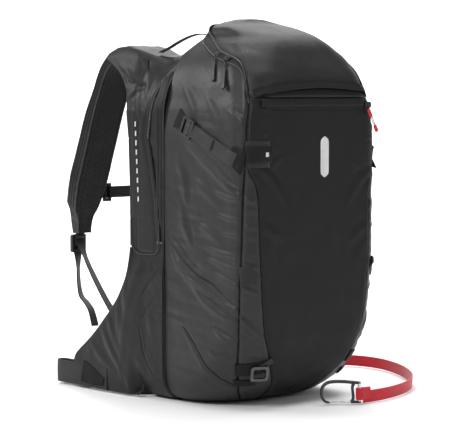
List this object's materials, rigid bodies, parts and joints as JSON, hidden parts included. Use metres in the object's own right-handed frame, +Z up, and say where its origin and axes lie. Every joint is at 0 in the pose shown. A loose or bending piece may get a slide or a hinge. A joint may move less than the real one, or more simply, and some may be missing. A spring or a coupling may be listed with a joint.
{
  "type": "avalanche airbag backpack",
  "caption": "Tall ski backpack with a zip-on airbag base unit, hinged zipped hood, padded shoulder straps, hip belt wings, compression straps and a red leg strap with a carabiner",
  "frame": {"origin": "middle of the flat base, on the surface that the pack stands on", "axes": "+X towards the wearer's right, -Y out of the front of the pack, +Y towards the wearer's back, +Z up"},
  "size_m": [0.5282, 0.5562, 0.629],
  "materials": {
    "shell_black": "coated nylon ripstop, near black, slight sheen",
    "shell_grey": "coated nylon ripstop, dark grey, slight sheen",
    "base_fabric": "plain weave nylon, dark grey, matt",
    "lining": "light nylon lining",
    "mesh_black": "spacer mesh over foam, matt",
    "foam_cover": "stretch knit over moulded foam, matt",
    "webbing_black": "woven polyester webbing",
    "webbing_red": "woven polyester webbing, red",
    "zip_black": "coil zip and its tape, black",
    "burst_zip": "fine moulded burst zip, black",
    "metal_dark": "dark anodised alloy",
    "metal_silver": "bright wire",
    "slider_metal": "gunmetal zip slider",
    "pull_black": "moulded pull on cord",
    "pull_red": "red webbing pull with a moulded end",
    "plastic_black": "moulded acetal",
    "plastic_grey": "moulded housing",
    "plastic_red": "moulded release grip, red",
    "sheet_black": "polyethylene sheet",
    "aluminium": "flat bar, satin",
    "airbag_fabric": "thin coated nylon, orange red",
    "battery_wrap": "shrink wrapped cells in a tray",
    "motor_metal": "machined can"
  },
  "bodies": {
    "pack": {"side_panel_left": "shell_grey", "side_panel_right": "shell_grey", "corner_strips": "shell_grey", "front_panel": "shell_black", "bottom_panel": "shell_black", "top_panel": "shell_grey", "lid_zip": "zip_black", "divider_panel": "lining", "pocket_liner": "lining", "pocket_zip": "zip_black", "base_shell": "base_fabric", "booster_zip": "zip_black", "frame_sheet": "sheet_black", "frame_stays": "aluminium", "back_foam": "foam_cover", "lumbar_pad": "mesh_black", "airbag_sleeves": "base_fabric", "burst_zips": "burst_zip", "collar": "base_fabric", "folded_airbag": "airbag_fabric", "blower_housing": "plastic_grey", "motor": "motor_metal", "outlet_duct": "plastic_grey", "intake_grille": "plastic_black", "battery_pack": "battery_wrap", "controller_box": "plastic_grey", "shoulder_pad_left": "mesh_black", "shoulder_pad_right": "mesh_black", "shoulder_webbings": "webbing_black", "load_lifters": "webbing_black", "compression_straps": "webbing_black", "fabric_tabs": "webbing_black", "leg_strap": "webbing_red", "leg_strap_fittings": "webbing_red"},
    "impeller": {"impeller": "plastic_grey"},
    "valve": {"check_valve_flap": "pull_black"},
    "power_button": {"power_button": "plastic_red"},
    "lid": {"top_lid": "shell_black"},
    "lid_slider_upper": {"lid_slider_upper": "slider_metal"},
    "lid_slider_lower": {"lid_slider_lower": "slider_metal"},
    "lid_pull_upper": {"lid_pull_upper": "pull_black"},
    "lid_pull_lower": {"lid_pull_lower": "pull_black"},
    "storm_flap": {"storm_flap": "shell_black"},
    "pocket_slider": {"pocket_slider": "slider_metal"},
    "pocket_pull": {"pocket_pull": "pull_red"},
    "compression_buckle_left": {"compression_buckle_left": "plastic_black"},
    "compression_buckle_right": {"compression_buckle_right": "plastic_black"},
    "ladder_lock_left": {"ladder_lock_left": "plastic_black"},
    "ladder_lock_right": {"ladder_lock_right": "plastic_black"},
    "trigger": {"trigger_handle": "plastic_red"},
    "sternum": {"sternum_strap_left": "plastic_black", "sternum_strap_right": "plastic_black"},
    "hip_wing_left": {"hip_wing_left": "base_fabric", "hip_webbing_left": "webbing_black"},
    "hip_wing_right": {"hip_wing_right": "base_fabric", "hip_webbing_right": "webbing_black"},
    "hip_buckle": {"hip_buckle": "metal_dark"},
    "carabiner": {"carabiner_body": "metal_dark"},
    "gate": {"carabiner_gate": "metal_silver"},
    "tool_hook": {"tool_hook": "metal_dark"}
  },
  "joints": [
    {"name": "impeller_spin", "type": "hinge", "parent": "pack", "child": "impeller", "pos_m": [0, 0.08, 0.37], "axis": [0, 1, 0], "continuous": true},
    {"name": "check_valve_open", "type": "hinge", "parent": "pack", "child": "valve", "pos_m": [0.0236, 0.086, 0.4506], "axis": [0, -1, 0], "range_deg": [0, 60]},
    {"name": "power_button_press", "type": "slide", "parent": "pack", "child": "power_button", "axis": [0, 1, 0], "range_m": [0, 0.002], "stiffness_N_per_m": 1200},
    {"name": "lid_open", "type": "hinge", "parent": "pack", "child": "lid", "pos_m": [0, -0.1362, 0.5001], "axis": [1, 0, 0], "range_deg": [0, 80]},
    {"name": "lid_slider_upper_travel", "type": "slide", "parent": "pack", "child": "lid_slider_upper", "axis": [0.1711, 0.9495, 0.263], "range_m": [-0.01, 0.01]},
    {"name": "lid_slider_lower_travel", "type": "slide", "parent": "pack", "child": "lid_slider_lower", "axis": [0.1711, 0.9495, 0.263], "range_m": [-0.01, 0.004]},
    {"name": "lid_pull_upper_swing", "type": "hinge", "parent": "lid_slider_upper", "child": "lid_pull_upper", "pos_m": [-0.12317, -0.032, 0.5646], "axis": [0, 1, 0], "range_deg": [0, 60]},
    {"name": "lid_pull_lower_swing", "type": "hinge", "parent": "lid_slider_lower", "child": "lid_pull_lower", "pos_m": [-0.12889, -0.06, 0.5573], "axis": [0, 1, 0], "range_deg": [0, 60]},
    {"name": "storm_flap_lift", "type": "hinge", "parent": "pack", "child": "storm_flap", "pos_m": [0, -0.14, 0.4985], "axis": [-1, 0, 0], "range_deg": [0, 15]},
    {"name": "pocket_slider_travel", "type": "slide", "parent": "pack", "child": "pocket_slider", "axis": [1, 0, 0], "range_m": [-0.225, 0]},
    {"name": "pocket_pull_swing", "type": "hinge", "parent": "pocket_slider", "child": "pocket_pull", "pos_m": [0.118, -0.1412, 0.4828], "axis": [-1, 0, 0], "range_deg": [0, 36]},
    {"name": "compression_buckle_left_tilt", "type": "hinge", "parent": "pack", "child": "compression_buckle_left", "pos_m": [-0.1583, 0.0072, 0.4578], "axis": [0, 0.4271, -0.9042], "range_deg": [0, 25]},
    {"name": "compression_buckle_right_tilt", "type": "hinge", "parent": "pack", "child": "compression_buckle_right", "pos_m": [0.1583, 0.0072, 0.4578], "axis": [0, -0.4271, 0.9042], "range_deg": [0, 25]},
    {"name": "ladder_lock_left_tilt", "type": "hinge", "parent": "pack", "child": "ladder_lock_left", "pos_m": [-0.1, 0.353, 0.255], "axis": [1, 0, 0], "range_deg": [0, 25]},
    {"name": "ladder_lock_right_tilt", "type": "hinge", "parent": "pack", "child": "ladder_lock_right", "pos_m": [0.1, 0.353, 0.255], "axis": [1, 0, 0], "range_deg": [0, 25]},
    {"name": "trigger_pull", "type": "slide", "parent": "pack", "child": "trigger", "axis": [0, 1, 0], "range_m": [0, 0.009], "stiffness_N_per_m": 600},
    {"name": "sternum_height", "type": "slide", "parent": "pack", "child": "sternum", "axis": [0, -0.29, 0.957], "range_m": [-0.02, 0.02]},
    {"name": "hip_wing_left_fold", "type": "hinge", "parent": "pack", "child": "hip_wing_left", "pos_m": [-0.15, 0.122, 0.12], "axis": [0, 0, -1], "range_deg": [-12, 12]},
    {"name": "hip_wing_right_fold", "type": "hinge", "parent": "pack", "child": "hip_wing_right", "pos_m": [0.15, 0.122, 0.12], "axis": [0, 0, 1], "range_deg": [-12, 12]},
    {"name": "hip_buckle_swing", "type": "hinge", "parent": "hip_wing_right", "child": "hip_buckle", "pos_m": [0.152, 0.33, 0.025], "axis": [0, 0, 1], "range_deg": [-18, 18]},
    {"name": "carabiner_swing", "type": "hinge", "parent": "pack", "child": "carabiner", "pos_m": [0.057, -0.182, 0.02], "axis": [0, 0, 1], "range_deg": [-50, 50]},
    {"name": "gate_open", "type": "hinge", "parent": "carabiner", "child": "gate", "pos_m": [0.045, -0.173, 0.0043], "axis": [0.6, 0.8, 0], "range_deg": [0, 25], "stiffness_Nm_per_rad": 0.05, "springref_deg": -8.59},
    {"name": "tool_hook_swing", "type": "hinge", "parent": "pack", "child": "tool_hook", "pos_m": [-0.11069, -0.12211, 0.07081], "axis": [-0.8879, 0.46, 0], "range_deg": [0, 60]}
  ]
}
